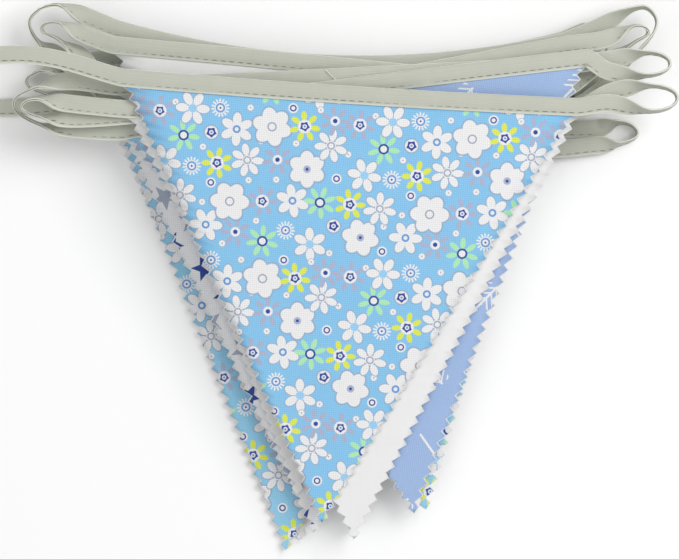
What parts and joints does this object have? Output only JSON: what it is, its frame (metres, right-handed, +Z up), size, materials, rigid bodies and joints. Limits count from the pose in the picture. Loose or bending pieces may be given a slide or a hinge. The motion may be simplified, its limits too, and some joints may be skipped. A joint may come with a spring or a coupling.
{
  "type": "fabric bunting",
  "caption": "Pinked triangular cloth pennants sewn into a narrow folded binding, folded back and forth into a flat stack with loops at both sides.",
  "frame": {"origin": "middle of the footprint, on the surface it lies on", "axes": "+X along the binding, away from its free ends; +Y away from the tips; +Z up out of the stack"},
  "size_m": [0.2758, 0.2211, 0.0387],
  "materials": {
    "binding_cloth": "matte folded cotton binding with one line of stitches along its open edge",
    "sky_floral": "matte plain-weave cotton with a small scattered flower print",
    "plain_back": "matte plain white cotton backing",
    "arrow_print": "matte cotton printed with small white arrows",
    "pale_floral": "matte pale blue cotton with a small flower print",
    "star_print": "matte white cotton printed with navy and grey stars"
  },
  "bodies": {
    "root": {"binding": "binding_cloth", "pennant_01": "sky_floral", "pennant_02": "plain_back", "pennant_03": "arrow_print", "pennant_04": "plain_back", "pennant_05": "pale_floral", "pennant_06": "plain_back", "pennant_07": "star_print", "pennant_08": "plain_back", "pennant_09": "star_print", "pennant_10": "plain_back", "pennant_11": "pale_floral", "pennant_12": "plain_back"}
  },
  "joints": []
}
